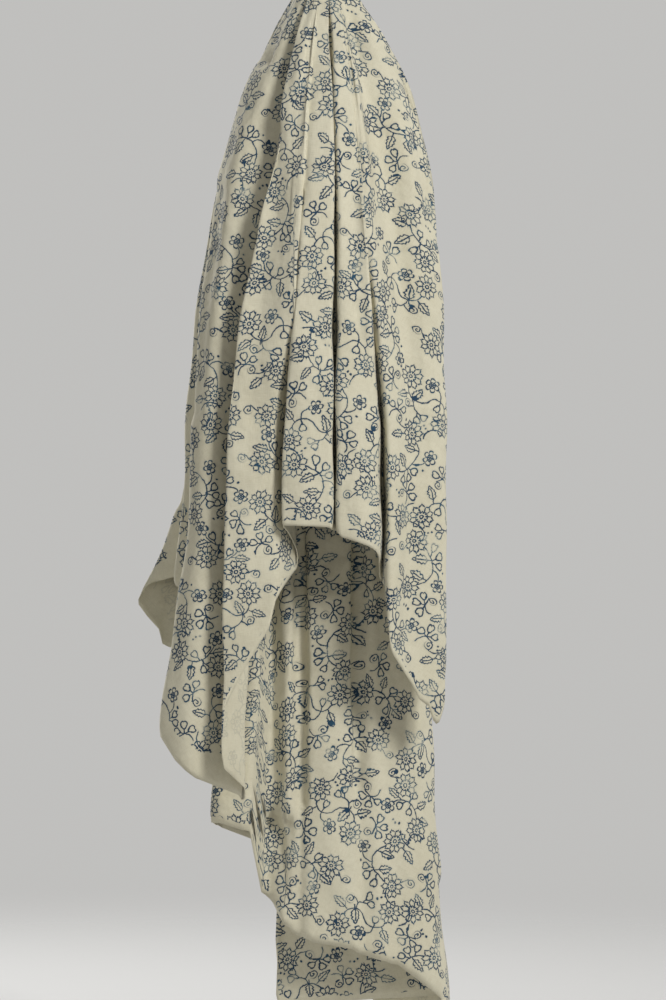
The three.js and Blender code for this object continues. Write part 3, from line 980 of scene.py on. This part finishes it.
# %% Cotton material
WANDER = ((0.035, 7.0), (0.22, 2.0), (1.1, 0.8))
HEM_MARGIN = 9.0
SELVEDGE_MARGIN = 26.0
THREAD_SPACING = 1.3
SLUB_STRETCH = (0.12, 1.6)
COTTON_SURFACE = {
    "Roughness": 0.86, "Specular IOR Level": 0.25, "Sheen Weight": 0.12, "Sheen Roughness": 0.5,
}
CREAM = (0.685, 0.645, 0.495, 1)
SLUB_CREAM = (0.585, 0.54, 0.39, 1)
DEEP_INDIGO = (0.006, 0.036, 0.078, 1)
WASHED_INDIGO = (0.026, 0.115, 0.180, 1)
INK_COVER = 0.985
LINE_HALF_WIDTH = 0.58
BLOCK_SCALE = 0.91

cotton = bpy.data.materials.new("cotton")
cotton.use_nodes = True
tree = cotton.node_tree
tree.nodes.clear()
Wire.tree = tree


def noise(place, scale, detail=2.0, roughness=0.5):
    return Wire.node("ShaderNodeTexNoise", {"noise_dimensions": "3D"},
                     {"Vector": place, "Scale": scale, "Detail": detail, "Roughness": roughness})


def noise_vector(place, scale, amount):
    """A small shift in both directions, for lines that wander as a hand-cut block's do."""
    made = Wire.node("ShaderNodeTexNoise", {"noise_dimensions": "3D"},
                     {"Vector": place, "Scale": scale, "Detail": 1.0}, "Color")
    centred = Wire.vector("SUBTRACT", made, (0.5, 0.5, 0.5))
    return Wire.vector("MULTIPLY", centred, (amount, amount, 0))


flat_place = Wire.node("ShaderNodeUVMap", {"uv_map": "print"})
in_mm = Wire.vector("MULTIPLY", flat_place, (1000, 1000, 0))
ragged = in_mm
for scale, amount in WANDER:
    ragged = Wire.vector("ADD", ragged, noise_vector(in_mm, scale, amount))
on_block = Wire.vector("DIVIDE", ragged, (BLOCK_SCALE, BLOCK_SCALE, 1))
line_distance = printed_distance(on_block) * BLOCK_SCALE
print(len(tree.nodes), "nodes for the lines")

# %% [markdown]
# The ink thins out in places where the block was pressed lightly, and fills in
# where the block held too much of it. The hem and one selvedge stay plain, and on
# the reverse the print only shows through.

# %% Ink
pressing = noise(in_mm, 0.045)
blotting = noise(in_mm, 0.07, 1.0)
half_width = LINE_HALF_WIDTH + (pressing - 0.5) * 0.5 + blotting.rise(0.68, 0.75) * 1.1
line = (line_distance - half_width).fade(-0.18, 0.22)
thread_grain = noise(in_mm, 1.6, 1.0)
missed = pressing.fade(0.30, 0.42) * thread_grain.rise(0.42, 0.60)
hem_margin = Wire.node("ShaderNodeAttribute", {"attribute_name": "hem_distance"}, {}, "Fac")
side_margin = Wire.node("ShaderNodeAttribute", {"attribute_name": "selvedge_distance"}, {}, "Fac")
reverse = Wire.node("ShaderNodeAttribute", {"attribute_name": "reverse"}, {}, "Fac")
off_hem = (hem_margin + noise(in_mm, 0.05) * 8).rise(HEM_MARGIN, HEM_MARGIN + 1)
off_selvedge = (side_margin + noise(in_mm, 0.05) * 10).rise(SELVEDGE_MARGIN, SELVEDGE_MARGIN + 1)
printed_area = off_hem * off_selvedge
haze = line_distance.fade(0.2, 2.6) * 0.13
ink = (line * (1 - missed * 0.8)).most(haze) * printed_area
ink = ink * (1 - reverse * 0.84)
print(len(tree.nodes), "nodes with the ink")

# %% [markdown]
# The cloth is unbleached plain-weave cotton: a warm cream with faint slubs along
# both threads, over a fine weave and a soft rumple.

# %% Cloth colour and weave
stretched_one = Wire.vector("MULTIPLY", in_mm, (*SLUB_STRETCH, 0))
stretched_two = Wire.vector("MULTIPLY", in_mm, (*reversed(SLUB_STRETCH), 0))
slub = noise(stretched_one, 1.0, 2.0) * 0.5 + noise(stretched_two, 1.0, 2.0) * 0.5
tone = noise(in_mm, 0.012, 1.0)


def blend(share, first, second):
    """The first colour where the share is 0 and the second where it is 1."""
    return Wire.node("ShaderNodeMix", {"data_type": "RGBA"}, {0: share, 6: first, 7: second}, 2)


slubbed = slub.rise(0.40, 0.66) * 0.6 + tone.rise(0.40, 0.70) * 0.30
washed_out = pressing.fade(0.32, 0.56) * 0.6 + thread_grain.rise(0.5, 0.7) * 0.15
cloth_colour = blend(slubbed, CREAM, SLUB_CREAM)
ink_colour = blend(washed_out, DEEP_INDIGO, WASHED_INDIGO)
colour = blend(ink * INK_COVER, cloth_colour, ink_colour)

thread_turn = math.tau / THREAD_SPACING
thread_x, thread_y = Wire.vector("MULTIPLY", in_mm, (thread_turn, thread_turn, 0)).parts()
weave = Wire.sum_of("SINE", thread_x) * Wire.sum_of("SINE", thread_y)
rumple = noise(in_mm, 0.05, 2.0, 0.45)
height = weave * 0.06 + slub * 0.4 + rumple * 3.2
bump = Wire.node("ShaderNodeBump", {}, {"Strength": 1.0, "Distance": MM, "Height": height})
shader = tree.nodes.new("ShaderNodeBsdfPrincipled")
for name, value in COTTON_SURFACE.items():
    shader.inputs[name].default_value = value
tree.links.new(colour.socket, shader.inputs["Base Color"])
tree.links.new(bump.socket, shader.inputs["Normal"])
output = tree.nodes.new("ShaderNodeOutputMaterial")
tree.links.new(shader.outputs[0], output.inputs[0])
mesh.materials.append(cotton)
print(len(tree.nodes), "nodes in the cotton")

# %% [markdown]
# ## Floor and light
# The cloth hangs over a plain pale floor. The floor fades out into the room
# round it, so that no edge of it shows behind the cloth from any side.

# %% Floor
BACKGROUND = (0.66, 0.655, 0.64, 1)
FLOOR_RADIUS = 2.6
FLOOR_HEIGHT = -1.2
FLOOR_FADE = (0.9, 2.4)
bpy.ops.object.select_all(action="DESELECT")
bpy.ops.mesh.primitive_circle_add(
    vertices=96, radius=FLOOR_RADIUS, fill_type="NGON", location=(0, 0, FLOOR_HEIGHT))
floor = bpy.context.object
floor.name = "floor"
floor_paint = bpy.data.materials.new("floor_paint")
floor_paint.use_nodes = True
Wire.tree = floor_paint.node_tree
floor_shader = floor_paint.node_tree.nodes["Principled BSDF"]
floor_shader.inputs["Base Color"].default_value = BACKGROUND
floor_shader.inputs["Roughness"].default_value = 0.9
floor_place = Wire.node("ShaderNodeTexCoord", {}, {}, "Object")
floor_alpha = floor_place.length().fade(*FLOOR_FADE)
floor_paint.node_tree.links.new(floor_alpha.socket, floor_shader.inputs["Alpha"])
floor.data.materials.append(floor_paint)

# %% [markdown]
# One lamp stands high on the right in front, and one behind on the left, so the
# folds shade the same way from the front and from the back. Two weak, wide lamps
# and a dim even room fill the shadows. What the camera sees of the room is
# brighter than what lights the cloth, which keeps the folds dark inside.

# %% Lights
ROOM_STRENGTH = 0.17
SEEN_ROOM_STRENGTH = 0.8
LAMPS = [
    ("key", (1.5, -2.0, 0.8), (0, 0, -0.5), (0.6, 0.8), 58),
    ("fill", (-2.0, -1.6, 0.1), (0, 0, -0.6), (1.2, 1.4), 8),
    ("back", (-1.5, 2.1, 0.8), (0, 0, -0.5), (0.8, 1.0), 60),
    ("back_fill", (1.9, 1.7, 0.1), (0, 0, -0.6), (1.2, 1.4), 14),
]
scene = bpy.context.scene
scene.view_settings.view_transform = "Standard"
world = bpy.data.worlds.new("room")
world.use_nodes = True
Wire.tree = world.node_tree
room_light = world.node_tree.nodes["Background"]
room_light.inputs["Color"].default_value = (1, 1, 1, 1)
room_light.inputs["Strength"].default_value = ROOM_STRENGTH
seen_room = Wire.node("ShaderNodeBackground", {}, {"Color": BACKGROUND, "Strength": SEEN_ROOM_STRENGTH})
ray = Wire.node("ShaderNodeLightPath", {}, {}, "Is Camera Ray")
seen = ray
for other_ray in ("Is Glossy Ray", "Is Transmission Ray"):
    seen = seen.most(Wire(ray.socket.node.outputs[other_ray]))
room = Wire.node("ShaderNodeMixShader", {}, {0: seen, 1: Wire(room_light.outputs[0]), 2: seen_room})
world.node_tree.links.new(room.socket, world.node_tree.nodes["World Output"].inputs["Surface"])
scene.world = world


def soft_light(name, place, target, size, power):
    """A rectangular lamp that points at the target. Sizes are in metres, power in watts."""
    lamp = bpy.data.lights.new(name, "AREA")
    lamp.shape = "RECTANGLE"
    lamp.size = size[0]
    lamp.size_y = size[1]
    lamp.energy = power
    lamp_object = bpy.data.objects.new(name, lamp)
    lamp_object.location = place
    aim = Vector(target) - Vector(place)
    lamp_object.rotation_euler = aim.to_track_quat("-Z", "Y").to_euler()
    bpy.context.scene.collection.objects.link(lamp_object)


for lamp_row in LAMPS:
    soft_light(*lamp_row)
print(len(LAMPS), "lamps")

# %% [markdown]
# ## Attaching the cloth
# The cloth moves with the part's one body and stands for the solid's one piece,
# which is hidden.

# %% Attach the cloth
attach(cloth, "root")
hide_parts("cloth")
